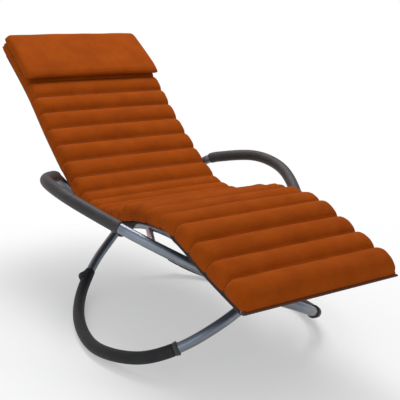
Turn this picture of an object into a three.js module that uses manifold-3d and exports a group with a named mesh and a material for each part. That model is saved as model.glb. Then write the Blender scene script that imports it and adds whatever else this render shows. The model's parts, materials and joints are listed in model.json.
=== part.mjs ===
import * as THREE from 'three';
import * as BufferGeometryUtils from 'three/addons/utils/BufferGeometryUtils.js';
import Module from 'manifold-3d';

const wasm = await Module();
wasm.setup();

// Sizes of the two crossed loops, in millimetres. X is across, Y runs from foot to head, Z is up.
const loopTubeRadius = 15;
const hubSpan = 782;
const frontHubHeight = 204;
const armReach = 402;
const rearHubRise = 25;
const armRise = 281;
const rockerReach = 366;
const rockerDrop = 169;
const hubRadius = 34;
const hubLength = 36;
const hubWall = 5;
const hubChamfer = 2;

// Sizes of the sleeves on the loops.
const gripWall = 2.4;
const gripClearance = 0.8;
const lipWall = 4.5;
const lipLength = 12;
const stopHeight = 11;
const stopLength = 42;
const sleeveGap = 0.6;

// Sizes of the seat frame.
const railRadius = 11;
const railReachShare = 0.585;
const railOffset = armReach * railReachShare;
const crossTubeRadius = 8;
const postRadius = 9.5;
const postTopOffset = railOffset + railRadius;
const stubRadius = 10;
const stubLength = 13;
const plugLip = 2.5;
const plugDepth = 14;
const railWall = 2;
const railEndInset = 14;
const jointGap = 0.3;
const hubToFoot = 268;

// Sizes of the sling, the pad and the pillow.
const seatLength = 1406;
const seatRise = 555;
const footAboveHub = 113;
const slingThickness = 1.2;
const slingClearance = 0.7;
const padThickness = 33;
const padOverhang = 27;
const padHalfWidth = railOffset + padOverhang;
const padSideDraw = 22;
const backCrest = 14;
const hipCrest = 9;
const kneeCrest = 15;
const legCrest = 21;
const endRound = 9;
const footEdgeThickness = 8;
const pillowLength = 216;
const pillowThickness = 29;
const pillowOverhang = 2;
const pillowHalfWidth = padHalfWidth + pillowOverhang;
const pillowGap = 0.5;

// Lean at which the empty lounger stands in balance on its rockers, in degrees.
const balanceLean = 4.15;

// Smoothness of the round and the bent pieces, and steps of the searches along curves.
const tubeSides = 14;
const railSides = 10;
const hubSides = 24;
const loopSteps = 40;
const railSteps = 48;
const stepsPerChannel = 5;
const bisections = 40;
const weldTolerance = 1e-4;

const frontHubY = -hubSpan / 2;

// Course of the arm tube from the front hub to the saddle under the rail: out, along and up.
const armShares = [
  [0.274, 0.033, 0.214],
  [0.674, 0.179, 0.566],
  [0.935, 0.4, 0.85],
  [1, 0.536, 0.957],
  [0.973, 0.669, 1],
  [0.826, 0.785, 0.965],
  [0.742, 0.836, 0.925],
];

// Course of the rocker tube between the hubs: out, along and down.
const rockerShares = [
  [0.352, -0.003, 0.336],
  [0.653, 0.042, 0.658],
  [0.866, 0.14, 0.893],
  [1, 0.333, 1],
  [0.923, 0.551, 0.963],
  [0.631, 0.816, 0.803],
  [0.348, 0.935, 0.401],
];

// Course of the pad's seams from foot to head: along and up.
const seatShares = [
  [0, 0],
  [0.11, 0.1],
  [0.21, 0.207],
  [0.272, 0.227],
  [0.351, 0.217],
  [0.42, 0.182],
  [0.495, 0.146],
  [0.568, 0.167],
  [0.639, 0.262],
  [0.756, 0.498],
  [0.866, 0.751],
  [1, 1],
];

// Zones of sewn channels from foot to head: end of the zone, number of channels, crest height.
const channelZones = [
  { endShare: 0.21, channels: 4, crest: legCrest },
  { endShare: 0.42, channels: 4, crest: kneeCrest },
  { endShare: 0.592, channels: 5, crest: hipCrest },
  { endShare: 1, channels: 10, crest: backCrest },
];

// Shape of a channel: how full it is, how far its crest comes down towards and at the sides,
// and how much of the side's width is left at a seam.
const channelFullness = 0.6;
const shoulderCrestShare = 0.92;
const sideCrestShare = 0.45;
const seamSideShare = 0.55;

// Outline of the pillow: along its length from the neck side, and up through its thickness.
const pillowShares = [
  [0.04, 0],
  [0, 0.2],
  [-0.01, 0.55],
  [0.05, 0.86],
  [0.17, 0.98],
  [0.4, 1],
  [0.7, 0.96],
  [0.9, 0.82],
  [0.96, 0.5],
  [0.93, 0.1],
  [0.88, 0],
  [0.5, 0],
  [0.2, 0],
];

// Cross sections of the pillow over its half width, and how they shrink towards its sides.
const pillowWidthShares = [-1, -0.97, -0.88, -0.5, 0.5, 0.88, 0.97, 1];
const pillowSidePower = 8;
const pillowSideLoss = 0.85;
const pillowShortening = 0.2;
const pillowCoreShare = 0.4;

// Angles at which the sling wraps round a rail, in degrees from level.
const slingWrapAngles = [90, 60, 30];

// Shape of the rear stop, and how far its bore is cut past both ends.
const stopWidthShare = 0.9;
const stopBoreShare = 0.03;

// How far the stop leans backwards from pointing straight out to the side.
const stopBackLean = 0.62;

// Stretches of the loops that carry sleeves, counted in the tube's steps from the front hub.
const armGripSteps = [13, 28];
const rockerSleeveSteps = [9, 32];

// Places of the posts, the rear saddle and the cross tubes, as shares of the loop, the hub span and the seat.
const frontPostFootShare = 0.248;
const frontPostTopShare = 0.295;
const rearSaddleShare = 0.838;
const crossTubeShares = [['foot', 0.035], ['front', 0.275], ['back', 0.68], ['head', 0.97]];

// Materials.
function frameSteel() {
  return new THREE.MeshStandardMaterial({ color: 0x5d5a5f, roughness: 0.32, metalness: 0.8 });
}

function gripFoam() {
  return new THREE.MeshStandardMaterial({ color: 0x333234, roughness: 0.75, metalness: 0 });
}

function sleeveRubber() {
  return new THREE.MeshStandardMaterial({ color: 0x232223, roughness: 0.7, metalness: 0 });
}

function lipPlastic() {
  return new THREE.MeshStandardMaterial({ color: 0x6d6867, roughness: 0.6, metalness: 0 });
}

function plugPlastic() {
  return new THREE.MeshStandardMaterial({ color: 0x1f1f20, roughness: 0.55, metalness: 0 });
}

function slingFabric() {
  return new THREE.MeshStandardMaterial({ color: 0x2e2622, roughness: 0.95, metalness: 0 });
}

function padSuede() {
  return new THREE.MeshStandardMaterial({ color: 0xa4480f, roughness: 0.9, metalness: 0 });
}

// Helpers for closed solids.
function toSolid(geometry) {
  const plain = geometry.clone();
  plain.deleteAttribute('normal');
  plain.deleteAttribute('uv');
  const welded = BufferGeometryUtils.mergeVertices(plain.index ? plain.toNonIndexed() : plain, weldTolerance);
  return new wasm.Manifold(new wasm.Mesh({
    numProp: 3,
    vertProperties: new Float32Array(welded.attributes.position.array),
    triVerts: new Uint32Array(welded.index.array),
  }));
}

function toGeometry(solid) {
  const mesh = solid.getMesh();
  const geometry = new THREE.BufferGeometry();
  geometry.setAttribute('position', new THREE.BufferAttribute(new Float32Array(mesh.vertProperties), 3));
  geometry.setIndex(new THREE.BufferAttribute(new Uint32Array(mesh.triVerts), 1));
  geometry.computeVertexNormals();
  return geometry;
}

function cutAll(geometry, cutters) {
  let solid = toSolid(geometry);
  for (const cutter of cutters) {
    solid = solid.subtract(toSolid(cutter));
  }
  return toGeometry(solid);
}

function circlePoints(radius, sides) {
  const points = [];
  for (let i = 0; i < sides; i += 1) {
    const angle = (i / sides) * Math.PI * 2;
    points.push(new THREE.Vector2(radius * Math.cos(angle), radius * Math.sin(angle)));
  }
  return points;
}

function tubeAlong(curve, radius, steps, sides, bore) {
  const section = new THREE.Shape(circlePoints(radius, sides));
  if (bore > 0) {
    section.holes.push(new THREE.Path(circlePoints(bore, sides).reverse()));
  }
  return new THREE.ExtrudeGeometry(section, { steps, extrudePath: curve, bevelEnabled: false });
}

function rodBetween(start, end, radius, sides) {
  return tubeAlong(new THREE.LineCurve3(start, end), radius, 1, sides, 0);
}

class Stretch extends THREE.Curve {
  constructor(base, from, to) {
    super();
    this.base = base;
    this.from = from;
    this.to = to;
  }

  getPoint(share, target = new THREE.Vector3()) {
    return this.base.getPointAt(THREE.MathUtils.lerp(this.from, this.to, share), target);
  }
}

// A closed solid from rings of equal point counts, with flat ends.
function loft(rings) {
  const count = rings[0].length;
  const positions = [];
  const index = [];
  for (const ring of rings) {
    for (const point of ring) {
      positions.push(point.x, point.y, point.z);
    }
  }
  for (let row = 0; row + 1 < rings.length; row += 1) {
    for (let i = 0; i < count; i += 1) {
      const next = (i + 1) % count;
      const a = row * count + i;
      const b = row * count + next;
      const c = a + count;
      const d = b + count;
      index.push(a, b, d, a, d, c);
    }
  }
  for (const [row, flip] of [[0, true], [rings.length - 1, false]]) {
    for (const [a, b, c] of ringTriangles(rings[row])) {
      const first = row * count;
      index.push(first + a, first + (flip ? c : b), first + (flip ? b : c));
    }
  }
  const geometry = new THREE.BufferGeometry();
  geometry.setAttribute('position', new THREE.Float32BufferAttribute(positions, 3));
  geometry.setIndex(enclosedVolume(positions, index) < 0 ? index.reverse() : index);
  geometry.computeVertexNormals();
  return geometry;
}

// Triangles that close a flat ring and are turned the way it runs.
function ringTriangles(ring) {
  const normal = new THREE.Vector3();
  ring.forEach((point, i) => {
    const next = ring[(i + 1) % ring.length];
    normal.add(point.clone().sub(ring[0]).cross(next.clone().sub(ring[0])));
  });
  normal.normalize();
  const across = ring[1].clone().sub(ring[0]).normalize();
  const up = normal.clone().cross(across);
  const flat = ring.map((point) => new THREE.Vector2(point.dot(across), point.dot(up)));
  return THREE.ShapeUtils.triangulateShape(flat, []);
}

function enclosedVolume(positions, index) {
  const corner = (k) => new THREE.Vector3().fromArray(positions, index[k] * 3);
  let volume = 0;
  for (let k = 0; k < index.length; k += 3) {
    volume += corner(k).dot(corner(k + 1).cross(corner(k + 2))) / 6;
  }
  return volume;
}

// The hubs, where the ends of both loops meet.
const frontHubCentre = new THREE.Vector3(0, frontHubY, frontHubHeight);
const rearHubCentre = new THREE.Vector3(0, -frontHubY, frontHubHeight + rearHubRise);

function loopPoint(side, out, along, up) {
  return new THREE.Vector3(side * out, frontHubY + along * hubSpan, frontHubHeight + up);
}

function armCurve(side) {
  const points = armShares.map(([out, along, up]) => loopPoint(side, out * armReach, along, up * armRise));
  return new THREE.CatmullRomCurve3([frontHubCentre, ...points, saddlePoint(side), rearHubCentre], false, 'centripetal');
}

function rockerCurve(side) {
  const points = rockerShares.map(([out, along, down]) => loopPoint(side, out * rockerReach, along, -down * rockerDrop));
  return new THREE.CatmullRomCurve3([frontHubCentre, ...points, rearHubCentre], false, 'centripetal');
}

function hubCutter(centre) {
  const reach = new THREE.Vector3(0, hubLength * 2, 0);
  const start = centre.clone().sub(reach);
  const end = centre.clone().add(reach);
  return rodBetween(start, end, hubRadius + jointGap, hubSides);
}

function loopTube(curve) {
  const tube = tubeAlong(curve, loopTubeRadius, loopSteps, tubeSides, 0);
  return cutAll(tube, [hubCutter(frontHubCentre), hubCutter(rearHubCentre)]);
}

function hubBody(centre) {
  const half = hubLength / 2;
  const inner = hubRadius - hubWall;
  const profile = [
    new THREE.Vector2(inner, -half),
    new THREE.Vector2(hubRadius - hubChamfer, -half),
    new THREE.Vector2(hubRadius, -half + hubChamfer),
    new THREE.Vector2(hubRadius, half - hubChamfer),
    new THREE.Vector2(hubRadius - hubChamfer, half),
    new THREE.Vector2(inner, half),
    new THREE.Vector2(inner, -half),
  ];
  return new THREE.LatheGeometry(profile, hubSides).translate(centre.x, centre.y, centre.z);
}

function hubPlug(centre, end) {
  const inner = hubRadius - hubWall - jointGap;
  const face = hubLength / 2 + jointGap;
  const profile = [
    new THREE.Vector2(0, face - hubWall * 2),
    new THREE.Vector2(inner, face - hubWall * 2),
    new THREE.Vector2(inner, face),
    new THREE.Vector2(hubRadius - hubChamfer, face),
    new THREE.Vector2(hubRadius - hubChamfer * 2, face + plugLip),
    new THREE.Vector2(0, face + plugLip),
  ];
  const plug = new THREE.LatheGeometry(profile, hubSides);
  if (end < 0) {
    plug.rotateX(Math.PI);
  }
  return plug.translate(centre.x, centre.y, centre.z);
}

function sleeveOn(curve, [first, last], wall) {
  return bandOn(curve, [first / loopSteps, last / loopSteps], wall, last - first);
}

function bandOn(curve, [from, to], wall, steps) {
  const bore = loopTubeRadius + gripClearance;
  return tubeAlong(new Stretch(curve, from, to), bore + wall, steps, tubeSides, bore);
}

function lipOn(curve) {
  const gap = sleeveGap / curve.getLength();
  const end = rockerSleeveSteps[0] / loopSteps - gap;
  const start = end - lipLength / curve.getLength();
  return bandOn(curve, [start, end], gripWall + lipWall, 1);
}

// The stop is a rounded block that sits outside the rear end of the rocker sleeve.
function stopOn(curve) {
  const bore = loopTubeRadius + gripClearance;
  const start = rockerSleeveSteps[1] / loopSteps + sleeveGap / curve.getLength();
  const end = start + stopLength / curve.getLength();
  const band = bandOn(curve, [start, end], gripWall, 2);
  const middle = curve.getPointAt((start + end) / 2);
  const along = curve.getTangentAt((start + end) / 2);
  const outward = new THREE.Vector3(Math.sign(middle.x), stopBackLean, 0);
  outward.addScaledVector(along, -outward.dot(along)).normalize();
  const block = new THREE.SphereGeometry(1, tubeSides, railSides / 2);
  block.scale(stopLength / 2, loopTubeRadius * stopWidthShare, stopHeight);
  const across = new THREE.Vector3().crossVectors(outward, along);
  const turn = new THREE.Matrix4().makeBasis(along, across, outward);
  turn.setPosition(middle.clone().addScaledVector(outward, bore + gripWall));
  block.applyMatrix4(turn);
  const core = tubeAlong(new Stretch(curve, start - stopBoreShare, end + stopBoreShare), bore, 4, tubeSides, 0);
  const firstEnd = endSlab(curve, start, -1);
  return toGeometry(toSolid(band).add(toSolid(block)).subtract(toSolid(core)).subtract(toSolid(firstEnd)));
}

function endSlab(curve, share, direction) {
  const point = curve.getPointAt(share);
  const along = curve.getTangentAt(share);
  const far = point.clone().addScaledVector(along, direction * stopLength);
  return rodBetween(point, far, hubRadius * 2, tubeSides);
}

// The seat's side view: a smooth line through the seams, with a step off it at right angles.
const seatLine = new THREE.SplineCurve(seatShares.map(([along, up]) => new THREE.Vector2(
  frontHubY - hubToFoot + along * seatLength,
  frontHubHeight + footAboveHub + up * seatRise,
)));

const seatLineLength = seatLine.getLength();

function seatPoint(share, offset, x) {
  const bounded = THREE.MathUtils.clamp(share, 0, 1);
  const point = seatLine.getPointAt(bounded);
  const along = seatLine.getTangentAt(bounded);
  const beyond = (share - bounded) * seatLineLength;
  return new THREE.Vector3(
    x,
    point.x + along.x * beyond - along.y * offset,
    point.y + along.y * beyond + along.x * offset,
  );
}

const slingDepth = padThickness + slingClearance;
const railDepth = slingDepth + slingThickness + slingClearance + railRadius;

// Share of the seat line at each step of the rails and the sling.
function runShare(step) {
  const inset = railEndInset / seatLineLength;
  return THREE.MathUtils.lerp(inset, 1 - inset, step / railSteps);
}

class RailRun extends THREE.Curve {
  constructor(side) {
    super();
    this.side = side;
  }

  getPoint(share) {
    return seatPoint(runShare(share * railSteps), -railDepth, this.side * railOffset);
  }

  getPointAt(share) {
    return this.getPoint(share);
  }

  getTangentAt(share) {
    return this.getTangent(share);
  }
}

function railCurve(side) {
  return new RailRun(side);
}

function railSolidWith(side, growth) {
  return tubeAlong(railCurve(side), railRadius + growth, railSteps, railSides, 0);
}

function railTube(side) {
  const curve = railCurve(side);
  const tube = railSolidWith(side, 0);
  const depth = plugDepth + jointGap;
  const cutters = [[0, 1], [1, -1]].map(([end, direction]) => {
    const face = curve.getPoint(end);
    const along = curve.getTangent(end).multiplyScalar(direction);
    const start = face.clone().addScaledVector(along, -depth);
    const stop = face.clone().addScaledVector(along, depth);
    return rodBetween(start, stop, railRadius - railWall, railSides);
  });
  return cutAll(tube, cutters);
}

function railPlug(side, end) {
  const curve = railCurve(side);
  const face = curve.getPoint(end);
  const outward = curve.getTangent(end).multiplyScalar(end === 0 ? -1 : 1);
  const radius = railRadius - railWall - jointGap * 2;
  const inner = face.clone().addScaledVector(outward, -plugDepth);
  const seat = face.clone().addScaledVector(outward, jointGap);
  const tip = seat.clone().addScaledVector(outward, plugLip);
  const stem = rodBetween(inner, tip, radius, railSides);
  const head = rodBetween(seat, tip, railRadius, railSides);
  return toGeometry(toSolid(stem).add(toSolid(head)));
}

function crossTube(share) {
  const left = seatPoint(share, -railDepth, -railOffset);
  const right = seatPoint(share, -railDepth, railOffset);
  const rod = rodBetween(left, right, crossTubeRadius, tubeSides);
  return cutAll(rod, [railSolidWith(-1, jointGap), railSolidWith(1, jointGap)]);
}

function loopSolidWith(curve, growth) {
  return tubeAlong(curve, loopTubeRadius + growth, loopSteps, tubeSides, 0);
}

function frontPost(side) {
  const foot = armCurve(side).getPointAt(frontPostFootShare);
  const top = seatPoint(frontPostTopShare, -railDepth - railRadius / 2, side * postTopOffset);
  const rod = rodBetween(foot, top, postRadius, tubeSides);
  return cutAll(rod, [loopSolidWith(armCurve(side), jointGap), railSolidWith(side, jointGap)]);
}

// The arm tube passes under the rail at the saddle, where the rear stub joins the two at right angles.
function saddleShare() {
  return arcShareAt((hubToFoot + rearSaddleShare * hubSpan) / seatLength);
}

function saddlePoint(side) {
  const depth = railDepth + railRadius + stubLength + loopTubeRadius;
  return seatPoint(saddleShare(), -depth, side * railOffset);
}

function rearStub(side) {
  const top = seatPoint(saddleShare(), -railDepth, side * railOffset);
  const rod = rodBetween(saddlePoint(side), top, stubRadius, tubeSides);
  return cutAll(rod, [loopSolidWith(armCurve(side), jointGap), railSolidWith(side, jointGap)]);
}

// The sling lies on both rails and wraps down their outer sides.
function slingRing(share) {
  const inner = railRadius + slingClearance;
  const outer = inner + slingThickness;
  const angles = slingWrapAngles.map((degrees) => THREE.MathUtils.degToRad(degrees));
  const wrap = (side, radius) => angles.map((angle) => seatPoint(
    share,
    -railDepth + radius * Math.sin(angle),
    side * (railOffset + radius * Math.cos(angle)),
  ));
  return [...wrap(1, outer), ...wrap(1, inner).reverse(), ...wrap(-1, inner), ...wrap(-1, outer).reverse()];
}

function sling() {
  const rings = [];
  for (let step = 1; step < railSteps; step += 1) {
    rings.push(slingRing(runShare(step)));
  }
  return loft(rings);
}

// The pad: sewn channels that bulge between seams and roll over at both sides.
function padRing(share, bulge, top, bottom) {
  const side = padHalfWidth - padSideDraw * (1 - sideShare(bulge));
  const section = [
    [side - padSideDraw, bottom],
    [side, (top + bottom) / 2 + bulge / 3],
    [side - padSideDraw / 2, top + bulge * sideCrestShare],
    [padHalfWidth - padSideDraw * 2, top + bulge * shoulderCrestShare],
    [0, top + bulge],
  ];
  const right = section.map(([x, offset]) => seatPoint(share, offset, x));
  const left = section.slice(0, -1).reverse().map(([x, offset]) => seatPoint(share, offset, -x));
  return [...right, ...left];
}

function sideShare(bulge) {
  return THREE.MathUtils.clamp(seamSideShare + bulge / legCrest, 0, 1);
}

function padStations() {
  const stations = [];
  let zoneStart = 0;
  for (const zone of channelZones) {
    const from = arcShareAt(zoneStart);
    const to = arcShareAt(zone.endShare);
    for (let i = 0; i < zone.channels * stepsPerChannel; i += 1) {
      const place = (i % stepsPerChannel) / stepsPerChannel;
      const bulge = zone.crest * Math.sin(Math.PI * place) ** channelFullness;
      stations.push([THREE.MathUtils.lerp(from, to, i / (zone.channels * stepsPerChannel)), bulge]);
    }
    zoneStart = zone.endShare;
  }
  stations.push([1, 0]);
  return stations;
}

// Share of the seat line's length at which it has gone a given share of the way along Y.
function arcShareAt(alongShare) {
  const target = frontHubY - hubToFoot + alongShare * seatLength;
  let low = 0;
  let high = 1;
  for (let i = 0; i < bisections; i += 1) {
    const middle = (low + high) / 2;
    if (seatLine.getPointAt(middle).x < target) {
      low = middle;
    } else {
      high = middle;
    }
  }
  return low;
}

function pad() {
  const end = endRound / seatLineLength;
  const rings = padStations().map(([share, bulge]) => padRing(share, bulge, 0, -padThickness));
  rings.unshift(padRing(-end, 0, footEdgeThickness - padThickness, -padThickness));
  rings.push(padRing(1 + end, 0, -padThickness / 4, -padThickness * 3 / 4));
  return loft(rings);
}

// The pillow: a rounded wedge that lies on the crests of the back's top channels.
function pillow() {
  const base = backCrest + pillowGap;
  const outline = new THREE.SplineCurve([...pillowShares, pillowShares[0]].map(([a, b]) => new THREE.Vector2(a, b)));
  const points = outline.getPoints(pillowShares.length * 2).slice(0, -1);
  return loft(pillowWidthShares.map((width) => {
    const keep = Math.sqrt(1 - Math.abs(width) ** pillowSidePower * pillowSideLoss);
    const length = 1 - pillowShortening * (1 - keep);
    return points.map((point) => {
      const up = pillowCoreShare + (point.y - pillowCoreShare) * keep;
      const along = (point.x - 1 / 2) * length + 1 / 2;
      const share = 1 - pillowLength * (1 - along) / seatLineLength;
      return seatPoint(share, base + pillowThickness * up, width * pillowHalfWidth);
    });
  }));
}

// Assembly.
const lounger = new THREE.Group();

function addPart(name, geometry, material) {
  const mesh = new THREE.Mesh(geometry, material);
  mesh.name = name;
  lounger.add(mesh);
}

for (const [word, side] of [['left', -1], ['right', 1]]) {
  addPart(`arm_tube_${word}`, loopTube(armCurve(side)), frameSteel());
  addPart(`rocker_tube_${word}`, loopTube(rockerCurve(side)), frameSteel());
  addPart(`arm_grip_${word}`, sleeveOn(armCurve(side), armGripSteps, gripWall), gripFoam());
  addPart(`rocker_sleeve_${word}`, sleeveOn(rockerCurve(side), rockerSleeveSteps, gripWall), sleeveRubber());
  addPart(`rocker_lip_${word}`, lipOn(rockerCurve(side)), lipPlastic());
  addPart(`rocker_stop_${word}`, stopOn(rockerCurve(side)), sleeveRubber());
  addPart(`seat_rail_${word}`, railTube(side), frameSteel());
  addPart(`rail_plug_foot_${word}`, railPlug(side, 0), plugPlastic());
  addPart(`rail_plug_head_${word}`, railPlug(side, 1), plugPlastic());
  addPart(`front_post_${word}`, frontPost(side), frameSteel());
  addPart(`rear_stub_${word}`, rearStub(side), frameSteel());
}

for (const [word, centre] of [['front', frontHubCentre], ['rear', rearHubCentre]]) {
  addPart(`hub_${word}`, hubBody(centre), frameSteel());
  addPart(`hub_plug_${word}_outer`, hubPlug(centre, word === 'front' ? -1 : 1), plugPlastic());
  addPart(`hub_plug_${word}_inner`, hubPlug(centre, word === 'front' ? 1 : -1), plugPlastic());
}

for (const [word, share] of crossTubeShares) {
  addPart(`cross_tube_${word}`, crossTube(arcShareAt(share)), frameSteel());
}

addPart('seat_sling', sling(), slingFabric());
addPart('seat_pad', pad(), padSuede());
addPart('head_pillow', pillow(), padSuede());

// The lounger leans back to its balance, its lowest point is on the floor, and Y zero is at mid length.
lounger.rotation.x = -THREE.MathUtils.degToRad(balanceLean);
const bounds = new THREE.Box3().setFromObject(lounger, true);
lounger.position.set(0, -(bounds.min.y + bounds.max.y) / 2, -bounds.min.z);
lounger.updateMatrixWorld(true);

export default lounger;
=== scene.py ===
import json
import math
import bpy
from mathutils import Matrix, Vector, noise

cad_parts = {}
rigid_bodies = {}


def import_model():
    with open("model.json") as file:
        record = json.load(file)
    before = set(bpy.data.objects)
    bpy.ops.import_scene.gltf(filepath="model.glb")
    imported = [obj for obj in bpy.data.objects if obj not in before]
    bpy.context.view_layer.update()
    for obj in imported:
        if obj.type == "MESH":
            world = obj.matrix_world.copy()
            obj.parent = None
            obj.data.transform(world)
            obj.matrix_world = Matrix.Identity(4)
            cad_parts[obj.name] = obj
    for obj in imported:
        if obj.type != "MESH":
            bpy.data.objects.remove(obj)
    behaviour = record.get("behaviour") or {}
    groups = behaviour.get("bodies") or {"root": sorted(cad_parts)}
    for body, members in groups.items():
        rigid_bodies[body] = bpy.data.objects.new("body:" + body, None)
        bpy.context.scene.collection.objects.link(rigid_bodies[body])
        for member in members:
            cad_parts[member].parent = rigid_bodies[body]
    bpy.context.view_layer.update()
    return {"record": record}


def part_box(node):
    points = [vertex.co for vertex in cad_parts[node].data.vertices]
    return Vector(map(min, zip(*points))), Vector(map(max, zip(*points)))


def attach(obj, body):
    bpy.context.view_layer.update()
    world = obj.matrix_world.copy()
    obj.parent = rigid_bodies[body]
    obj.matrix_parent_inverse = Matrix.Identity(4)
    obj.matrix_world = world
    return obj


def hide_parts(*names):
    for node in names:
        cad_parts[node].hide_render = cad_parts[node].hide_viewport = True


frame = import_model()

# Driving dimensions in metres, of the chair drawn level: +X its right, +Y its head end, +Z up
SIDES = (("left", -1), ("right", 1))
HUB_SPAN = 0.782
FRONT_HUB_HEIGHT, REAR_HUB_HEIGHT = 0.204, 0.229
FRONT_HUB = Vector((0, -HUB_SPAN / 2, FRONT_HUB_HEIGHT))
REAR_HUB = Vector((0, HUB_SPAN / 2, REAR_HUB_HEIGHT))
TUBE_RADIUS = 0.015
TUBE_START = 0.0335
ARM_REACH, ARM_RISE = 0.402, 0.281
ROCKER_REACH, ROCKER_DROP = 0.366, 0.169
SEAT_OVERHANG, SEAT_REACH = 0.268, 1.406
FOOT_HEIGHT, SEAT_RISE = 0.317, 0.555
PAD_THICKNESS = 0.033
SLING_THICKNESS, SLING_GAP = 0.0012, 0.0007
RAIL_RADIUS, RAIL_BORE, RAIL_INSET = 0.011, 0.009, 0.014
RAIL_SHARE = 0.585
RAIL_X = RAIL_SHARE * ARM_REACH
RAIL_DEPTH = PAD_THICKNESS + SLING_GAP + SLING_THICKNESS + SLING_GAP + RAIL_RADIUS
SADDLE_SHARE, STUB_HEIGHT = 0.838, 0.013
# Keeps a division away from zero
TINY = 1e-9

# Points of each line as shares: outward, along the hub span, and up (arm) or down (rocker)
ARM_SHARES = [(0.274, 0.033, 0.214), (0.674, 0.179, 0.566), (0.935, 0.4, 0.85), (1, 0.536, 0.957),
              (0.973, 0.669, 1), (0.826, 0.785, 0.965), (0.742, 0.836, 0.925)]
ROCKER_SHARES = [(0.352, -0.003, 0.336), (0.653, 0.042, 0.658), (0.866, 0.14, 0.893), (1, 0.333, 1),
                 (0.923, 0.551, 0.963), (0.631, 0.816, 0.803), (0.348, 0.935, 0.401)]
# The seat line from foot to head as shares of its reach and rise
SEAT_SHARES = [(0, 0), (0.11, 0.1), (0.21, 0.207), (0.272, 0.227), (0.351, 0.217), (0.42, 0.182),
               (0.495, 0.146), (0.568, 0.167), (0.639, 0.262), (0.756, 0.498), (0.866, 0.751), (1, 1)]

# Every drawn piece leans back with the frame, about the front hub
LEAN_DEGREES = 4.15
LEAN = math.radians(LEAN_DEGREES)
TURN = Matrix.Rotation(-LEAN, 3, "X")
SHIFT = sum(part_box("hub_front"), Vector()) / 2 - TURN @ FRONT_HUB

# Camera fitted to the photograph, in the level drawing
PHOTO_PIXELS = 400
CENTRE_PIXELS = (5.44, -5.39)
FILM_WIDTH, FOCAL_LENGTH = 36, 73.6
VIEW_YAW, VIEW_DIP = math.radians(34.454), math.radians(12.579)
CAMERA_PLACE = Vector((-1.37496, -2.08095, 0.97439))
CLIP_END = 60


def make_camera():
    data = bpy.data.cameras.new("camera")
    data.sensor_width = FILM_WIDTH
    data.lens = FOCAL_LENGTH
    data.shift_x = CENTRE_PIXELS[0] / PHOTO_PIXELS
    data.shift_y = CENTRE_PIXELS[1] / PHOTO_PIXELS
    data.clip_end = CLIP_END
    flat = math.cos(VIEW_DIP)
    forward = Vector((math.sin(VIEW_YAW) * flat, math.cos(VIEW_YAW) * flat, -math.sin(VIEW_DIP)))
    right = Vector((math.cos(VIEW_YAW), -math.sin(VIEW_YAW), 0))
    axes = Matrix((right, right.cross(forward), -forward)).transposed()
    camera = bpy.data.objects.new("camera", data)
    camera.rotation_mode = "QUATERNION"
    camera.rotation_quaternion = (TURN @ axes).to_quaternion()
    camera.location = TURN @ CAMERA_PLACE + SHIFT
    bpy.context.scene.collection.objects.link(camera)
    bpy.context.scene.camera = camera


make_camera()


# Curves shared with the frame
def centripetal(points, per_span=40):
    """A centripetal Catmull-Rom curve through the points."""
    made = []
    for i in range(len(points) - 1):
        p1, p2 = points[i], points[i + 1]
        p0 = points[i - 1] if i > 0 else p1 * 2 - p2
        p3 = points[i + 2] if i + 2 < len(points) else p2 * 2 - p1
        d0, d1, d2 = ((b - a).length ** 0.5 for a, b in ((p0, p1), (p1, p2), (p2, p3)))
        t1 = ((p1 - p0) / d0 - (p2 - p0) / (d0 + d1) + (p2 - p1) / d1) * d1
        t2 = ((p2 - p1) / d1 - (p3 - p1) / (d1 + d2) + (p3 - p2) / d2) * d1
        c2 = -3 * p1 + 3 * p2 - 2 * t1 - t2
        c3 = 2 * p1 - 2 * p2 + t1 + t2
        for k in range(per_span):
            t = k / per_span
            made.append(p1 + t1 * t + c2 * t * t + c3 * t ** 3)
    made.append(points[-1].copy())
    return made


def uniform_span(p0, p1, p2, p3, steps):
    """Points from p1 up to p2 on a uniform Catmull-Rom curve."""
    v0, v1 = (p2 - p0) * 0.5, (p3 - p1) * 0.5
    made = []
    for k in range(steps):
        t = k / steps
        cubic = (2 * p1 - 2 * p2 + v0 + v1) * t ** 3
        made.append(cubic + (-3 * p1 + 3 * p2 - 2 * v0 - v1) * t * t + v0 * t + p1)
    return made


def lengths(points):
    run = [0.0]
    for a, b in zip(points, points[1:]):
        run.append(run[-1] + (b - a).length)
    return run


def stretch(points, start, end, steps):
    """Evenly spaced points between two shares of a curve's length."""
    run = lengths(points)
    made, j = [], 0
    for i in range(steps + 1):
        want = run[-1] * (start + (end - start) * i / steps)
        while j < len(run) - 2 and run[j + 1] < want:
            j += 1
        t = (want - run[j]) / max(run[j + 1] - run[j], TINY)
        made.append(points[j].lerp(points[j + 1], t))
    return made


def seat_polyline(per_span=60):
    foot = -HUB_SPAN / 2 - SEAT_OVERHANG
    points = [Vector((foot + along * SEAT_REACH, FOOT_HEIGHT + up * SEAT_RISE)) for along, up in SEAT_SHARES]
    made, last = [], len(points) - 1
    for i in range(last):
        around = (points[max(i - 1, 0)], points[i], points[i + 1], points[min(i + 2, last)])
        made += uniform_span(*around, per_span)
    return made + [points[-1]]


SEAT_LINE = seat_polyline()
SEAT_RUN = lengths(SEAT_LINE)
SEAT_LENGTH = SEAT_RUN[-1]


def seat_frame(s):
    """Point and direction of the seams' side view at the run s, in metres from the foot end."""
    inside = min(max(s, 0.0), SEAT_LENGTH)
    lo, hi = 0, len(SEAT_RUN) - 1
    while hi - lo > 1:
        mid = (lo + hi) // 2
        if SEAT_RUN[mid] <= inside:
            lo = mid
        else:
            hi = mid
    reach = 12
    before, after = SEAT_LINE[max(lo - reach, 0)], SEAT_LINE[min(hi + reach, len(SEAT_LINE) - 1)]
    along = (after - before).normalized()
    t = (inside - SEAT_RUN[lo]) / (SEAT_RUN[hi] - SEAT_RUN[lo])
    return SEAT_LINE[lo].lerp(SEAT_LINE[hi], t) + along * (s - inside), along


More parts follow.
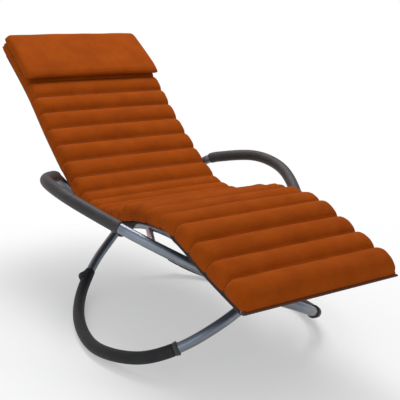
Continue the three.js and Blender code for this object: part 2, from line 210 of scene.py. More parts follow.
def on_seat(s, lift, x):
    """The place at the run s, lifted off the seat line, x to the side."""
    p, d = seat_frame(s)
    return Vector((x, p.x - d.y * lift, p.y + d.x * lift))


def run_at(share):
    """The run at which the seat line has gone this share of its reach."""
    want = -HUB_SPAN / 2 - SEAT_OVERHANG + share * SEAT_REACH
    for p, run in zip(SEAT_LINE, SEAT_RUN):
        if p.x >= want:
            return run
    return SEAT_LENGTH


def along_hubs(share):
    return share * HUB_SPAN - HUB_SPAN / 2


def arm_line(side):
    """From the front hub over the arm and under the rail's saddle to the rear hub."""
    points = []
    for out, along, up in ARM_SHARES:
        height = FRONT_HUB_HEIGHT + up * ARM_RISE
        points.append(Vector((side * out * ARM_REACH, along_hubs(along), height)))
    below = -(RAIL_DEPTH + RAIL_RADIUS + STUB_HEIGHT + TUBE_RADIUS)
    place = run_at((SEAT_OVERHANG + SADDLE_SHARE * HUB_SPAN) / SEAT_REACH)
    return centripetal([FRONT_HUB, *points, on_seat(place, below, side * RAIL_X), REAR_HUB])


def rocker_line(side):
    """From the front hub along the floor to the rear hub."""
    points = []
    for out, along, down in ROCKER_SHARES:
        height = FRONT_HUB_HEIGHT - down * ROCKER_DROP
        points.append(Vector((side * out * ROCKER_REACH, along_hubs(along), height)))
    return centripetal([FRONT_HUB, *points, REAR_HUB])


# Mesh helpers
def mesh_object(name, verts, faces, smooth=True, drawn=True):
    """An object from points of the level drawing, or, if it isn't drawn level, of the room."""
    mesh = bpy.data.meshes.new(name)
    mesh.from_pydata([tuple(TURN @ v + SHIFT) if drawn else v for v in verts], [], faces)
    mesh.validate()
    mesh.update()
    if smooth:
        mesh.polygons.foreach_set("use_smooth", [True] * len(mesh.polygons))
    obj = bpy.data.objects.new(name, mesh)
    bpy.context.scene.collection.objects.link(obj)
    return obj


def skin(rings, around, closed=False, first=0, flip=False):
    """Faces between rings of points; a closed skin joins the last ring to the first."""
    faces = []
    for i in range(rings if closed else rings - 1):
        here, there = first + i * around, first + (i + 1) % rings * around
        for k in range(around):
            m = (k + 1) % around
            face = (here + k, here + m, there + m, there + k)
            faces.append((face[0], face[3], face[2], face[1]) if flip else face)
    return faces


def caps(rings, around, first=0, flip=False):
    """The end faces of an open skin."""
    last = first + (rings - 1) * around
    starting, ending = list(range(first, first + around)), list(range(last, last + around))
    if flip:
        ending.reverse()
    else:
        starting.reverse()
    return [tuple(starting), tuple(ending)]


def circle(centre, s, b, radius, around):
    points = []
    for k in range(around):
        angle = 2 * math.pi * k / around
        points.append(centre + (s * math.cos(angle) + b * math.sin(angle)) * radius)
    return points


def frames_along(points):
    """Direction and two cross directions at each point of a path, without twist."""
    tangents = []
    for i in range(len(points)):
        a, b = points[max(i - 1, 0)], points[min(i + 1, len(points) - 1)]
        tangents.append((b - a).normalized())
    side = tangents[0].orthogonal().normalized()
    sides = []
    for t in tangents:
        side = (side - t * side.dot(t)).normalized()
        sides.append(side.copy())
    return [(t, s, t.cross(s)) for t, s in zip(tangents, sides)]


def sweep(name, points, radii, around=40, bore=0.0):
    """A round bar or sleeve along a path; radii is one number or one for each point."""
    radii = radii if isinstance(radii, list) else [radii] * len(points)
    rings = list(zip(points, frames_along(points), radii))
    if bore:
        rings += [(p, f, bore) for p, f, _ in reversed(rings)]
    verts = []
    for p, (_, s, b), radius in rings:
        verts += circle(p, s, b, radius, around)
    faces = skin(len(rings), around, closed=bool(bore))
    if not bore:
        faces += caps(len(rings), around)
    return mesh_object(name, verts, faces)


def mark_creases(obj, angle=40):
    bpy.context.view_layer.objects.active = obj
    obj.select_set(True)
    bpy.ops.object.shade_smooth_by_angle(angle=math.radians(angle))
    obj.select_set(False)


# Materials, with colours as linear red, green and blue
def new_material(name):
    material = bpy.data.materials.new(name)
    material.use_nodes = True
    nodes, links = material.node_tree.nodes, material.node_tree.links
    return material, nodes, links, nodes["Principled BSDF"]


def noise_node(nodes, links, scale, detail, roughness=0.6):
    coords = nodes.new("ShaderNodeTexCoord")
    tex = nodes.new("ShaderNodeTexNoise")
    tex.inputs["Scale"].default_value = scale
    tex.inputs["Detail"].default_value = detail
    tex.inputs["Roughness"].default_value = roughness
    links.new(coords.outputs["Object"], tex.inputs["Vector"])
    return tex


def ramp(nodes, links, source, stops):
    """A colour ramp; each stop is its position and its colour."""
    node = nodes.new("ShaderNodeValToRGB")
    elements = node.color_ramp.elements
    elements[0].position, elements[0].color = stops[0][0], (*stops[0][1], 1)
    elements[1].position, elements[1].color = stops[-1][0], (*stops[-1][1], 1)
    for position, colour in stops[1:-1]:
        elements.new(position).color = (*colour, 1)
    links.new(source, node.inputs["Fac"])
    return node


def bump(nodes, links, height, bsdf, strength, distance, before=None):
    node = nodes.new("ShaderNodeBump")
    node.inputs["Strength"].default_value = strength
    node.inputs["Distance"].default_value = distance
    links.new(height, node.inputs["Height"])
    if before is not None:
        links.new(before.outputs["Normal"], node.inputs["Normal"])
    links.new(node.outputs["Normal"], bsdf.inputs["Normal"])
    return node


def steel(name, dark, light):
    """Satin metallic paint with a fine grain."""
    material, nodes, links, bsdf = new_material(name)
    bsdf.inputs["Metallic"].default_value = 0.85
    tone = noise_node(nodes, links, scale=9, detail=3)
    colour = ramp(nodes, links, tone.outputs["Fac"], [(0.3, dark), (0.7, light)])
    links.new(colour.outputs["Color"], bsdf.inputs["Base Color"])
    grain = noise_node(nodes, links, scale=900, detail=2)
    smoother, rougher = (0.3, 0.3, 0.3), (0.42, 0.42, 0.42)
    rough = ramp(nodes, links, grain.outputs["Fac"], [(0.3, smoother), (0.7, rougher)])
    links.new(rough.outputs["Color"], bsdf.inputs["Roughness"])
    bump(nodes, links, grain.outputs["Fac"], bsdf, strength=0.15, distance=0.0004)
    return material


def rubber(name, dark, light, roughness):
    """Matte foam, rubber or plastic."""
    material, nodes, links, bsdf = new_material(name)
    tone = noise_node(nodes, links, scale=22, detail=5)
    colour = ramp(nodes, links, tone.outputs["Fac"], [(0.3, dark), (0.7, light)])
    links.new(colour.outputs["Color"], bsdf.inputs["Base Color"])
    bsdf.inputs["Roughness"].default_value = roughness
    bsdf.inputs["Specular IOR Level"].default_value = 0.35
    grain = noise_node(nodes, links, scale=700, detail=2)
    bump(nodes, links, grain.outputs["Fac"], bsdf, strength=0.35, distance=0.0008)
    return material


def suede(name, dark, middle, light, sheen_tint):
    """A napped cover, patchy in tone, with small folds."""
    material, nodes, links, bsdf = new_material(name)
    patch = noise_node(nodes, links, scale=14, detail=6, roughness=0.65)
    colour = ramp(nodes, links, patch.outputs["Fac"], [(0.28, dark), (0.5, middle), (0.75, light)])
    links.new(colour.outputs["Color"], bsdf.inputs["Base Color"])
    bsdf.inputs["Roughness"].default_value = 0.95
    bsdf.inputs["Specular IOR Level"].default_value = 0.06
    bsdf.inputs["Sheen Weight"].default_value = 0.03
    bsdf.inputs["Sheen Roughness"].default_value = 0.5
    bsdf.inputs["Sheen Tint"].default_value = (*sheen_tint, 1)
    nap = noise_node(nodes, links, scale=850, detail=3)
    folds = noise_node(nodes, links, scale=45, detail=4)
    first = bump(nodes, links, folds.outputs["Fac"], bsdf, strength=0.25, distance=0.004)
    bump(nodes, links, nap.outputs["Fac"], bsdf, strength=0.4, distance=0.0008, before=first)
    return material


def cloth(name, dark, light):
    """A woven band or sheet."""
    material, nodes, links, bsdf = new_material(name)
    coords = nodes.new("ShaderNodeTexCoord")
    weave = nodes.new("ShaderNodeTexWave")
    weave.inputs["Scale"].default_value = 180
    weave.inputs["Distortion"].default_value = 1.5
    links.new(coords.outputs["Object"], weave.inputs["Vector"])
    colour = ramp(nodes, links, weave.outputs["Fac"], [(0.2, dark), (0.8, light)])
    links.new(colour.outputs["Color"], bsdf.inputs["Base Color"])
    bsdf.inputs["Roughness"].default_value = 0.95
    bump(nodes, links, weave.outputs["Fac"], bsdf, strength=0.4, distance=0.0008)
    return material


STEEL = steel("frame_steel", dark=(0.168, 0.178, 0.196), light=(0.262, 0.275, 0.3))
# Front posts: steel with a painted highlight and a painted pinkish reflection of the pad in its colour
POST_PAINTED_HIGHLIGHT = steel("post_steel_painted_highlight", dark=(0.46, 0.33, 0.33), light=(0.6, 0.44, 0.44))
GRIP = rubber("grip_foam", (0.032, 0.027, 0.026), (0.056, 0.047, 0.045), roughness=0.55)
SLEEVE = rubber("sleeve_rubber", (0.009, 0.0085, 0.008), (0.02, 0.019, 0.018), roughness=0.6)
LIP = rubber("lip_plastic", (0.035, 0.033, 0.031), (0.06, 0.056, 0.052), roughness=0.45)
PLUG = rubber("plug_plastic", (0.012, 0.012, 0.012), (0.022, 0.022, 0.022), roughness=0.45)
SUEDE = suede("pad_suede", dark=(0.262, 0.046, 0.0025), middle=(0.305, 0.055, 0.003),
              light=(0.35, 0.066, 0.0035), sheen_tint=(1.0, 0.3, 0.03))
SLING = cloth("sling_fabric", dark=(0.02, 0.015, 0.012), light=(0.045, 0.035, 0.028))
BINDING = cloth("pad_binding", dark=(0.06, 0.02, 0.006), light=(0.12, 0.035, 0.01))
BY_SLOT = {"frame_steel": STEEL, "grip_foam": GRIP, "sleeve_rubber": SLEEVE, "lip_plastic": LIP,
           "plug_plastic": PLUG, "pad_suede": SUEDE, "sling_fabric": SLING}


def finish_piece(obj, body, slot, material, *nodes):
    """Give a piece its material and its body, and hide the CAD nodes that it replaces; the slot is not used.
    """
    obj.data.materials.clear()
    obj.data.materials.append(material)
    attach(obj, body)
    if nodes:
        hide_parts(*nodes)
    return obj


# The CAD nodes; the front posts get a warmer and lighter steel, a painted highlight with a painted pinkish
# reflection of the pad
for entry in frame["record"]["subparts"]:
    node = bpy.data.objects[entry["node"]]
    node.data.materials.clear()
    has_painted_highlight = "front_post" in entry["node"]
    node.data.materials.append(POST_PAINTED_HIGHLIGHT if has_painted_highlight else BY_SLOT[entry["material_slot"]])
    node.data.polygons.foreach_set("use_smooth", [True] * len(node.data.polygons))
    mark_creases(node)

# Loops: tubes, and sleeves between two shares of a loop's length
LOOP_STEPS, GRIP_STEPS, RUNNER_STEPS = 220, 160, 220
SLEEVE_PLAY, SLEEVE_BUILD, SLEEVE_END_WALL = 0.0008, 0.0032, 0.0006
SLEEVE_BORE = TUBE_RADIUS + SLEEVE_PLAY
SLEEVE_RADIUS = TUBE_RADIUS + SLEEVE_BUILD
SLEEVE_EDGE = SLEEVE_BORE + SLEEVE_END_WALL
GRIP_START_SHARE, GRIP_END_SHARE = 0.325, 0.7
RUNNER_START_SHARE, RUNNER_END_SHARE = 0.225, 0.8


def rounded_ends(count, radius, inner, reach=2):
    """Radii that swell from the inner radius to the full one over the reach, at both ends."""
    radii = []
    for i in range(count):
        near = min(i, count - 1 - i)
        share = min(near / reach, 1.0)
        radii.append(inner + (radius - inner) * math.sqrt(1 - (1 - share) ** 2))
    return radii


def sleeve_mesh(name, line, start, end, steps):
    path = stretch(line, start, end, steps)
    return sweep(name, path, rounded_ends(len(path), SLEEVE_RADIUS, SLEEVE_EDGE), bore=SLEEVE_BORE)


for word, side in SIDES:
    arm, rocker = arm_line(side), rocker_line(side)
    for kind, line in (("arm", arm), ("rocker", rocker)):
        cut = TUBE_START / lengths(line)[-1]
        bar = sweep(f"{kind}_bar_{word}", stretch(line, cut, 1 - cut, LOOP_STEPS), TUBE_RADIUS)
        finish_piece(bar, "chair", "frame_steel", STEEL, f"{kind}_tube_{word}")
    grip = sleeve_mesh(f"arm_cover_{word}", arm, GRIP_START_SHARE, GRIP_END_SHARE, GRIP_STEPS)
    finish_piece(grip, "chair", "grip_foam", GRIP, f"arm_grip_{word}")
    runner = sleeve_mesh(f"rocker_cover_{word}", rocker, RUNNER_START_SHARE, RUNNER_END_SHARE, RUNNER_STEPS)
    finish_piece(runner, "chair", "sleeve_rubber", SLEEVE, f"rocker_sleeve_{word}")

# Collar at the front end of the rocker sleeve, and stop at its rear end
END_GAP = 0.0006
CUFF_LENGTH = 0.0125
CUFF_RADII = [0.0171, 0.0195, 0.0205, 0.0208, 0.0206, 0.0201, 0.0197, 0.0195,
              0.0194, 0.0193, 0.0193, 0.0192, 0.0191, 0.019, 0.0187]
STOP_LENGTH, STOP_RADIUS, STOP_TAPER = 0.042, 0.0182, 0.0012
STOP_STEPS = 24
STOP_BACK_LEAN = 0.62
BUMP_HEIGHT, BUMP_CENTRE, BUMP_SPREAD, BUMP_FOCUS = 0.0132, 0.34, 0.33, 2.5


def stop_mesh(name, points, out):
    """The end of the rocker sleeve with a rounded bump on one side that runs out into the tube."""
    around, rings, verts = 48, [], []
    for i, (p, (along, s, b)) in enumerate(zip(points, frames_along(points))):
        u = i / (len(points) - 1)
        away = (out - along * out.dot(along)).normalized()
        height = BUMP_HEIGHT * math.exp(-((u - BUMP_CENTRE) / BUMP_SPREAD) ** 2)
        rings.append((p, s, b, away, height, STOP_RADIUS - STOP_TAPER * u ** 3))
    rings += [(p, s, b, away, 0.0, SLEEVE_BORE) for p, s, b, away, _, _ in reversed(rings)]
    for p, s, b, away, height, radius in rings:
        for k in range(around):
            angle = 2 * math.pi * k / around
            d = s * math.cos(angle) + b * math.sin(angle)
            verts.append(p + d * (radius + height * max(0.0, d.dot(away)) ** BUMP_FOCUS))
    return mesh_object(name, verts, skin(len(rings), around, closed=True))


for word, side in SIDES:
    rocker = rocker_line(side)
    total = lengths(rocker)[-1]
    end = RUNNER_START_SHARE - END_GAP / total
    path = stretch(rocker, end - CUFF_LENGTH / total, end, len(CUFF_RADII) - 1)
    cuff = sweep(f"rocker_cuff_{word}", path, CUFF_RADII, around=48, bore=SLEEVE_BORE)
    finish_piece(cuff, "chair", "lip_plastic", LIP, f"rocker_lip_{word}")
    start = RUNNER_END_SHARE + END_GAP / total
    path = stretch(rocker, start, start + STOP_LENGTH / total, STOP_STEPS)
    stop = stop_mesh(f"rocker_bump_{word}", path, Vector((side, STOP_BACK_LEAN, 0)))
    finish_piece(stop, "chair", "sleeve_rubber", SLEEVE, f"rocker_stop_{word}")

# Seat rails
RAIL_STEPS = 240
for word, side in SIDES:
    path = []
    for i in range(RAIL_STEPS + 1):
        s = RAIL_INSET + (SEAT_LENGTH - 2 * RAIL_INSET) * i / RAIL_STEPS
        path.append(on_seat(s, -RAIL_DEPTH, side * RAIL_X))
    rail = sweep(f"rail_bar_{word}", path, RAIL_RADIUS, around=32, bore=RAIL_BORE)
    finish_piece(rail, "chair", "frame_steel", STEEL, f"seat_rail_{word}")

# Sling: how far it goes round the rails, in degrees, and where along the seat it is cut back
SLING_END_GAP = 0.003
SLING_INSET = RAIL_INSET + SLING_END_GAP
FULL_WRAP, POST_WRAP, SADDLE_WRAP = 155, 60, 95
POST_RUN, POST_CUT, POST_EASE = 0.45, 0.085, 0.05
SADDLE_RUN, SADDLE_CUT, SADDLE_EASE = 0.973, 0.03, 0.04
SLING_STEPS, WRAP_STEPS = 260, 14


def smooth_share(value):
    """A share from 0 to 1 that starts and ends gently."""
    v = min(1.0, max(0.0, value))
    return v * v * (3 - 2 * v)


def wrap_angle(s):
    """How far the sling goes round a rail, cut back round the front posts and the rear saddles."""
    off_post = smooth_share((abs(s - POST_RUN) - POST_CUT) / POST_EASE)
    off_saddle = smooth_share((abs(s - SADDLE_RUN) - SADDLE_CUT) / SADDLE_EASE)
    at_post = POST_WRAP + (FULL_WRAP - POST_WRAP) * off_post
    at_saddle = SADDLE_WRAP + (FULL_WRAP - SADDLE_WRAP) * off_saddle
    return math.radians(min(at_post, at_saddle))


def sling_mesh():
    inner = RAIL_RADIUS + SLING_GAP
    verts = []
    for i in range(SLING_STEPS + 1):
        s = SLING_INSET + (SEAT_LENGTH - 2 * SLING_INSET) * i / SLING_STEPS
        turns = [math.pi / 2 - wrap_angle(s) * k / WRAP_STEPS for k in range(WRAP_STEPS + 1)]
        over, under = [], []
        for layer, radius in ((over, inner + SLING_THICKNESS), (under, inner)):
            for turn in turns:
                layer.append((RAIL_X + radius * math.cos(turn), -RAIL_DEPTH + radius * math.sin(turn)))
        section = over[::-1] + [(-x, n) for x, n in over]
        section += [(-x, n) for x, n in reversed(under)] + under
        verts += [on_seat(s, n, x) for x, n in section]
    rings, around = SLING_STEPS + 1, len(section)
    return mesh_object("sling_sheet", verts, skin(rings, around) + caps(rings, around))


sling = finish_piece(sling_mesh(), "chair", "sling_fabric", SLING, "seat_sling")

# Pad: zones from the foot as end share, number of channels and height of their crests
ZONES = [(0.21, 4, 0.021), (0.42, 4, 0.015), (0.592, 5, 0.009), (1.0, 10, 0.014)]
PAD_UNDER = -PAD_THICKNESS
# Seam 7 of the back, counted from the hip, is pushed down by the pillow's lower edge, its neighbours less
NECK_SEAM, NECK_SHIFT, NECK_SPREAD = 7, 0.0095, 1.6
# Shape of a channel: its fullness, half-width at the seam and on the crest, and softness of its ends
CHANNEL_POWER, FULL_WIDTH_SHARE = 0.6, 0.7
SEAM_HALF_WIDTH, CREST_SWELL = 0.2562, 0.0048
SOFTNESS, SOFTNESS_BY_HEIGHT = 0.022, 0.42
# Shape of a row: inset of the underside, lip above it, roll-over at the sides and crown of the top
UNDER_INSET = 0.004
LIP_HEIGHT, LIP_SHARE = 0.007, 0.4
ROLL_POWER = 0.75
TOP_CROWN = 0.0015
SIDE_STEPS, TOP_STEPS, UNDER_STEPS = 14, 60, 12
ROWS_PER_CHANNEL = 14
# The first channel stands up steeply at the foot end, with softer corners
FOOT_START, FOOT_STEEPNESS, FOOT_POWER, FOOT_DROP = 0.22, 2.4, 0.7, 0.002
FOOT_SOFTNESS, FOOT_FADE = 0.03, 1.6
# Rows past the foot: run, height over the underside, softness; past the head: run, top, rise of the underside
FOOT_HALF_WIDTH, HEAD_HALF_WIDTH, HEAD_SOFTNESS = 0.254, 0.2495, 0.028
FOOT_ROWS = [(-0.010, 0.010, 0.03), (-0.0085, 0.018, 0.045), (-0.0055, 0.027, 0.055)]
HEAD_ROWS = [(0, 0.0, 0), (0.006, -0.006, 0.004), (0.009, -0.013, 0.012)]
# Wrinkles: how often they come across and along, their seed, and their height; the height of the two waves
# is a share of the channel's, and the gathers are at the sides of the hip
BROAD_WAVE = {"across": 7, "start": 3, "along": 16, "seed": 0.3, "height": 0.14}
FINE_WAVE = {"across": 30, "along": 34, "seed": 5.1, "height": 0.06}
EDGE_PULL = {"across": 60, "along": 9, "seed": 9.7, "height": 0.0016}
HIP_GATHER = {"across": 14, "along": 88, "seed": 2.2, "height": 0.0058}
PULL_START_SHARE = 0.75
RIPPLE_UP, RIPPLE_ALONG, RIPPLE_DEPTH, RIPPLE_BASE = 20, 70, 0.003, 0.3
HIP_RUN, HIP_REACH, HIP_POWER = 0.53, 0.15, 4
GATHER_START, GATHER_REACH = 0.15, 0.09
EASE_HEIGHT = 0.02


def seams():
    """Runs of the seams with the crest height of the channel after each."""
    made, start = [], 0.0
    for end_share, count, crest in ZONES:
        a = run_at(start) if start else 0.0
        b = run_at(end_share) if end_share < 1 else SEAT_LENGTH
        for i in range(count):
            near_neck = math.exp(-((i - NECK_SEAM) / NECK_SPREAD) ** 2) if end_share == 1 else 0.0
            made.append((a + (b - a) * i / count - NECK_SHIFT * near_neck, crest))
        start = end_share
    return made + [(SEAT_LENGTH, 0.0)]


def hip_share(s):
    return math.exp(-((s - HIP_RUN) / HIP_REACH) ** HIP_POWER)


def pad_outline(top, bottom, wide, soft):
    """Side and height of the points of a row: flat below, rolled over at both sides, crowned on top."""
    lip = bottom + min(LIP_HEIGHT, (top - bottom) * LIP_SHARE)
    under = [((wide - UNDER_INSET) * (2 * k / UNDER_STEPS - 1), bottom) for k in range(UNDER_STEPS + 1)]
    rolled = []
    for k in range(SIDE_STEPS):
        angle = math.pi / 2 * k / SIDE_STEPS
        out = wide - soft + soft * math.cos(angle) ** ROLL_POWER
        rolled.append((out, lip + (top - lip) * math.sin(angle) ** ROLL_POWER))
    crown = []
    for k in range(TOP_STEPS + 1):
        across = 1 - 2 * k / TOP_STEPS
        crown.append(((wide - soft) * across, top + TOP_CROWN * (1 - across * across)))
    return under + rolled + crown + [(-x, n) for x, n in reversed(rolled)], lip


def wrinkle(x, s, across, along, seed, height, start=0):
    return noise.noise(Vector((x * across + start, s * along, seed))) * height


def pad_row(s, top, bottom, wide, soft, bulge):
    """One closed row of the pad with its wrinkles."""
    ring, lip = pad_outline(top, bottom, wide, soft)
    hip = hip_share(s)
    row = []
    for x, n in ring:
        p = on_seat(s, n, x)
        if n > lip:
            ease = min(1.0, (n - lip) / EASE_HEIGHT)
            gathered = min(1.0, max(0.0, (abs(x) - GATHER_START) / GATHER_REACH))
            near_side = max(0.0, abs(x) / wide - PULL_START_SHARE) / (1 - PULL_START_SHARE)
            wave = wrinkle(x, s, **BROAD_WAVE) + wrinkle(x, s, **FINE_WAVE)
            pull = wrinkle(x, s, **EDGE_PULL) * near_side + wrinkle(x, s, **HIP_GATHER) * gathered * hip
            up = on_seat(s, n + 1, x) - on_seat(s, n, x)
            p += up * (wave * bulge + pull) * ease
            ripple = noise.noise(Vector((n * RIPPLE_UP, s * RIPPLE_ALONG, x))) * RIPPLE_DEPTH
            p.x += math.copysign(ripple * gathered * (RIPPLE_BASE + hip) * ease, x)
        row.append(p)
    return row


def foot_bulge(place, crest):
    """Height of the first channel's lower half."""
    share = min(1.0, place * FOOT_STEEPNESS + FOOT_START)
    return crest * math.sin(math.pi / 2 * share) ** FOOT_POWER - FOOT_DROP


def pad_mesh():
    """The pad's cover, the points that are held while it is blown up, and the lines of its threads."""
    marks = seams()
    rows, at_seams = [], []
    for past, above, soft in FOOT_ROWS:
        rows.append(pad_row(past, PAD_UNDER + above, PAD_UNDER, FOOT_HALF_WIDTH, soft, 0.0))
    for i, ((a, crest), (b, _)) in enumerate(zip(marks, marks[1:])):
        for k in range(ROWS_PER_CHANNEL):
            place = k / ROWS_PER_CHANNEL
            bulge = crest * math.sin(math.pi * place) ** CHANNEL_POWER
            rounding = 0.0
            if i == 0:
                rounding = FOOT_SOFTNESS * max(0.0, 1 - place * FOOT_FADE) ** 2
                if place < 0.5:
                    bulge = max(bulge, foot_bulge(place, crest))
            elif k == 0:
                at_seams.append(len(rows))
            wide = SEAM_HALF_WIDTH + CREST_SWELL * min(1.0, bulge / (FULL_WIDTH_SHARE * crest))
            soft = SOFTNESS + SOFTNESS_BY_HEIGHT * bulge + rounding
            rows.append(pad_row(a + (b - a) * place, bulge, PAD_UNDER, wide, soft, bulge))
    threads_at = list(at_seams)
    at_seams.append(len(rows))
    for past, top, above in HEAD_ROWS:
        under = PAD_UNDER + above
        rows.append(pad_row(SEAT_LENGTH + past, top, under, HEAD_HALF_WIDTH, HEAD_SOFTNESS, 0.0))
    count, around = len(rows), len(rows[0])
    # The underside and the first two points of the roll at each side are held, the rest carries the threads
    under_points = UNDER_STEPS + 3
    held = [i * around + k for i in at_seams for k in range(around)]
    for i in range(count):
        held += [i * around + k for k in [*range(under_points), around - 2, around - 1]]
    held += range(len(FOOT_ROWS) * around)
    held += range((count - len(HEAD_ROWS)) * around, count * around)
    threads = [rows[i][under_points:around - 2] for i in threads_at]
    faces = skin(count, around, flip=True) + caps(count, around, flip=True)
    cover = mesh_object("pad_cover", [p for row in rows for p in row], faces)
    return cover, sorted(set(held)), threads


def thread_mesh(name, paths, radius, around=6):
    verts, faces = [], []
    for path in paths:
        first = len(verts)
        for p, (_, s, b) in zip(path, frames_along(path)):
            verts += circle(p, s, b, radius, around)
        faces += skin(len(path), around, first=first) + caps(len(path), around, first=first)
    return mesh_object(name, verts, faces)


def puff(obj, held, pressure, cap, frames=20):
    """Blow a cover up between its held points and keep the shape that it takes."""
    start = [v.co.copy() for v in obj.data.vertices]
    obj.vertex_groups.new(name="seams").add(held, 1.0, "REPLACE")
    modifier = obj.modifiers.new("cover", "CLOTH")
    settings = modifier.settings
    settings.vertex_group_mass = "seams"
    settings.use_pressure = True
    settings.uniform_pressure_force = pressure
    settings.effector_weights.gravity = 0
    settings.tension_stiffness = 8
    settings.compression_stiffness = 8
    settings.bending_stiffness = 0.2
    settings.mass = 0.25
    modifier.point_cache.frame_start = 1
    modifier.point_cache.frame_end = frames
    for number in range(1, frames + 1):
        bpy.context.scene.frame_set(number)
    blown = obj.evaluated_get(bpy.context.evaluated_depsgraph_get()).data
    for vertex, before, after in zip(obj.data.vertices, start, [v.co.copy() for v in blown.vertices]):
        move = after - before
        vertex.co = before + move * min(1.0, cap / max(move.length, TINY))
    obj.modifiers.remove(modifier)
    obj.vertex_groups.clear()
    bpy.context.scene.frame_set(1)


pad_object, pad_held, pad_threads = pad_mesh()
puff(pad_object, pad_held, pressure=4.0, cap=0.006)
pad = finish_piece(pad_object, "chair", "pad_suede", SUEDE, "seat_pad")
# Seam threads: stitching in the dark binding colour, which also paints the shade in the seam creases
finish_piece(thread_mesh("pad_seam_threads_painted_shade", pad_threads, radius=0.0011), "chair", None, BINDING)

# Binding round the pad's lower edge, wavy at the hip
BINDING_RADIUS = 0.0034
BINDING_ABOVE, BINDING_X = 0.004, 0.2535
BINDING_LIFT = PAD_UNDER + BINDING_ABOVE
BINDING_PAST_FOOT, BINDING_PAST_HEAD = 0.008, 0.006
BINDING_RIPPLE, BINDING_WAVES, BINDING_SIDE_SEED, BINDING_SEED = 0.0025, 60, 3, 0.7
FOOT_BINDING_PAST, FOOT_BINDING_X = 0.0125, 0.258
HEAD_BINDING_PAST, HEAD_BINDING_ABOVE, HEAD_BINDING_X = 0.0085, 0.012, 0.25


def side_binding(side, steps=320):
    points = []
    for i in range(steps + 1):
        reach = SEAT_LENGTH + BINDING_PAST_FOOT + BINDING_PAST_HEAD
        s = reach * i / steps - BINDING_PAST_FOOT
        place = Vector((side * BINDING_SIDE_SEED, s * BINDING_WAVES, BINDING_SEED))
        ripple = BINDING_RIPPLE * hip_share(s) * noise.noise(place)
        points.append(on_seat(s, BINDING_LIFT + ripple, side * (BINDING_X + ripple / 2)))
    return points


def cross_binding(s, lift, half_width, steps=60):
    return [on_seat(s, lift, half_width * (2 * i / steps - 1)) for i in range(steps + 1)]


bindings = {word: side_binding(side) for word, side in SIDES}
head_lift = PAD_UNDER + HEAD_BINDING_ABOVE
bindings["foot"] = cross_binding(-FOOT_BINDING_PAST, BINDING_LIFT, FOOT_BINDING_X)
bindings["head"] = cross_binding(SEAT_LENGTH + HEAD_BINDING_PAST, head_lift, HEAD_BINDING_X)
for word, points in bindings.items():
    binding = sweep(f"pad_binding_{word}", points, BINDING_RADIUS, around=12)
    finish_piece(binding, "chair", None, BINDING)

# Pillow: its side view from the lower edge round to the head end, as shares of length and height
PILLOW_SHARES = [(0.055, 0), (0.018, 0.1), (-0.008, 0.36), (-0.008, 0.66), (0.03, 0.88), (0.12, 1.02),
                 (0.42, 1.07), (0.7, 1.03), (0.92, 0.95), (0.982, 0.6), (0.96, 0.1), (0.88, 0),
                 (0.5, 0), (0.2, 0)]
PILLOW_LENGTH, PILLOW_HEIGHT, PILLOW_HALF_WIDTH = 0.231, 0.029, 0.2625
PILLOW_LIFT = 0.0148
PILLOW_CROWN, CROWN_START = 0.003, 0.3
PILLOW_DENTS = {"across": 3.1, "along": 3.3, "seed": 4.4, "height": 0.0016}
SIDE_ROUNDING, SIDE_HEIGHT_SHARE, SIDE_POWER = 0.022, 0.3, 2.4
CORNER_CUT_SHARE = 0.12
PILLOW_STEPS, END_CROWDING = 72, 0.75
# The cloth is held below this height and over this many rings at both sides
HELD_BELOW, HELD_RINGS = 0.12, 2


def closed_spline(points, per_span):
    made, count = [], len(points)
    for i in range(count):
        made += uniform_span(*(Vector(points[(i + k - 1) % count]) for k in range(4)), per_span)
    return made


def side_height(w):
    """Share of the pillow's height at w, from -1 to 1 across, rounded off at both sides."""
    edge = min(1.0, (1 - abs(w)) * PILLOW_HALF_WIDTH / SIDE_ROUNDING)
    return SIDE_HEIGHT_SHARE + (1 - SIDE_HEIGHT_SHARE) * (1 - (1 - edge) ** SIDE_POWER) ** (1 / SIDE_POWER)


def pillow_mesh():
    """The pillow's cover, with the points that its seams and the pad below hold in place."""
    outline = closed_spline(PILLOW_SHARES, per_span=7)
    verts, held = [], []
    rings, around = PILLOW_STEPS + 1, len(outline)
    for i in range(rings):
        w = -math.cos(math.pi * i / PILLOW_STEPS)
        w = math.copysign(abs(w) ** END_CROWDING, w)
        height = side_height(w)
        for k, point in enumerate(outline):
            along = 0.5 + (point.x - 0.5) * (1 - CORNER_CUT_SHARE + CORNER_CUT_SHARE * height)
            up = max(point.y * height, 0.0)
            s = SEAT_LENGTH - PILLOW_LENGTH * (1 - along)
            dent = wrinkle(w, along, **PILLOW_DENTS) * min(1.0, up * 2)
            crown = PILLOW_CROWN * (1 - w * w) * max(0.0, up - CROWN_START)
            lift = PILLOW_LIFT + PILLOW_HEIGHT * up + dent + crown
            verts.append(on_seat(s, lift, w * PILLOW_HALF_WIDTH))
            if point.y < HELD_BELOW or min(i, PILLOW_STEPS - i) < HELD_RINGS:
                held.append(i * around + k)
    return mesh_object("pillow_cover", verts, skin(rings, around) + caps(rings, around)), held


pillow_object, pillow_held = pillow_mesh()
puff(pillow_object, pillow_held, pressure=2.5, cap=0.0035)
pillow = finish_piece(pillow_object, "pillow", "pad_suede", SUEDE, "head_pillow")

# Floor: white to the camera and to reflections away from the chair, with the chair's shadow near it
FLOOR_REACH = 20
FLOOR_WHITE = (0.93, 0.93, 0.93)
SHADOW_REACH, WHITE_REACH, WHITE_NEAR = 0.5, 1.9, 0.35
WHITE = (1, 1, 1, 1)


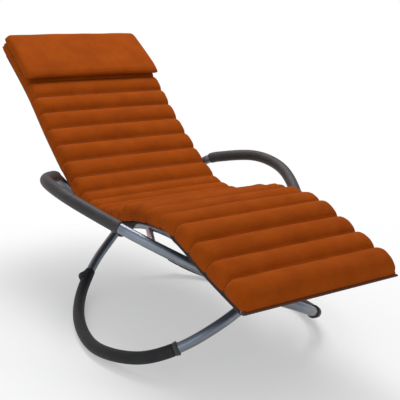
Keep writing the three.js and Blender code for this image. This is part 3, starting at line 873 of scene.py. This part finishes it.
def floor_shader():
    material, nodes, links, bsdf = new_material("floor")
    bsdf.inputs["Base Color"].default_value = (*FLOOR_WHITE, 1)
    bsdf.inputs["Roughness"].default_value = 0.9
    glow = nodes.new("ShaderNodeEmission")
    mix = nodes.new("ShaderNodeMixShader")
    coords = nodes.new("ShaderNodeTexCoord")
    distance = nodes.new("ShaderNodeVectorMath")
    distance.operation = "LENGTH"
    fade = nodes.new("ShaderNodeMapRange")
    fade.interpolation_type = "SMOOTHSTEP"
    fade.inputs["From Min"].default_value = SHADOW_REACH
    fade.inputs["From Max"].default_value = WHITE_REACH
    fade.inputs["To Min"].default_value = WHITE_NEAR
    seen_by = nodes.new("ShaderNodeLightPath")
    either, share = nodes.new("ShaderNodeMath"), nodes.new("ShaderNodeMath")
    either.operation, share.operation = "MAXIMUM", "MULTIPLY"
    links.new(seen_by.outputs["Is Camera Ray"], either.inputs[0])
    links.new(seen_by.outputs["Is Glossy Ray"], either.inputs[1])
    links.new(coords.outputs["Object"], distance.inputs[0])
    links.new(distance.outputs["Value"], fade.inputs["Value"])
    links.new(fade.outputs["Result"], share.inputs[0])
    links.new(either.outputs["Value"], share.inputs[1])
    links.new(share.outputs["Value"], mix.inputs["Fac"])
    links.new(bsdf.outputs["BSDF"], mix.inputs[1])
    links.new(glow.outputs["Emission"], mix.inputs[2])
    links.new(mix.outputs["Shader"], nodes["Material Output"].inputs["Surface"])
    return material


corners = [(x * FLOOR_REACH, y * FLOOR_REACH, 0) for x, y in ((-1, -1), (1, -1), (1, 1), (-1, 1))]
floor = mesh_object("floor", corners, [(0, 1, 2, 3)], smooth=False, drawn=False)
floor.data.materials.append(floor_shader())

# World: white behind the chair, softer as light, and tinted from front to back in reflections
ROOM_STRENGTH, REFLECTION_STRENGTH = 0.55, 0.9
REFLECTED = [(0.0, (0.45, 0.6, 0.8)), (0.45, (0.6, 0.64, 0.7)), (1.0, (0.85, 0.7, 0.68))]


def make_world():
    world = bpy.data.worlds.new("studio")
    bpy.context.scene.world = world
    world.use_nodes = True
    nodes, links = world.node_tree.nodes, world.node_tree.links
    room = nodes["Background"]
    room.inputs["Color"].default_value = WHITE
    room.inputs["Strength"].default_value = ROOM_STRENGTH
    backdrop = nodes.new("ShaderNodeBackground")
    backdrop.inputs["Color"].default_value = WHITE
    sky = nodes.new("ShaderNodeBackground")
    sky.inputs["Strength"].default_value = REFLECTION_STRENGTH
    coords = nodes.new("ShaderNodeTexCoord")
    split = nodes.new("ShaderNodeSeparateXYZ")
    links.new(coords.outputs["Generated"], split.inputs["Vector"])
    tint = ramp(nodes, links, split.outputs["Y"], REFLECTED)
    links.new(tint.outputs["Color"], sky.inputs["Color"])
    path = nodes.new("ShaderNodeLightPath")
    gloss = nodes.new("ShaderNodeMixShader")
    seen = nodes.new("ShaderNodeMixShader")
    links.new(path.outputs["Is Glossy Ray"], gloss.inputs["Fac"])
    links.new(room.outputs["Background"], gloss.inputs[1])
    links.new(sky.outputs["Background"], gloss.inputs[2])
    links.new(path.outputs["Is Camera Ray"], seen.inputs["Fac"])
    links.new(gloss.outputs["Shader"], seen.inputs[1])
    links.new(backdrop.outputs["Background"], seen.inputs[2])
    links.new(seen.outputs["Shader"], nodes["World Output"].inputs["Surface"])


def area_light(name, place, target, size, power, colour=(1, 1, 1)):
    data = bpy.data.lights.new(name, "AREA")
    data.shape = "SQUARE"
    data.size = size
    data.energy = power
    data.color = colour
    obj = bpy.data.objects.new(name, data)
    obj.location = place
    obj.rotation_mode = "QUATERNION"
    obj.rotation_quaternion = (Vector(target) - Vector(place)).to_track_quat("-Z", "Y")
    bpy.context.scene.collection.objects.link(obj)


make_world()
area_light("key", place=(0.6, 1.1, 3.4), target=(0, 0, 0.4), size=1.8, power=75)
area_light("front", place=(-2.6, -2.2, 2.0), target=(0, 0, 0.3), size=2.4, power=18, colour=(0.9, 0.95, 1))

scene = bpy.context.scene
scene.view_settings.view_transform = "Standard"
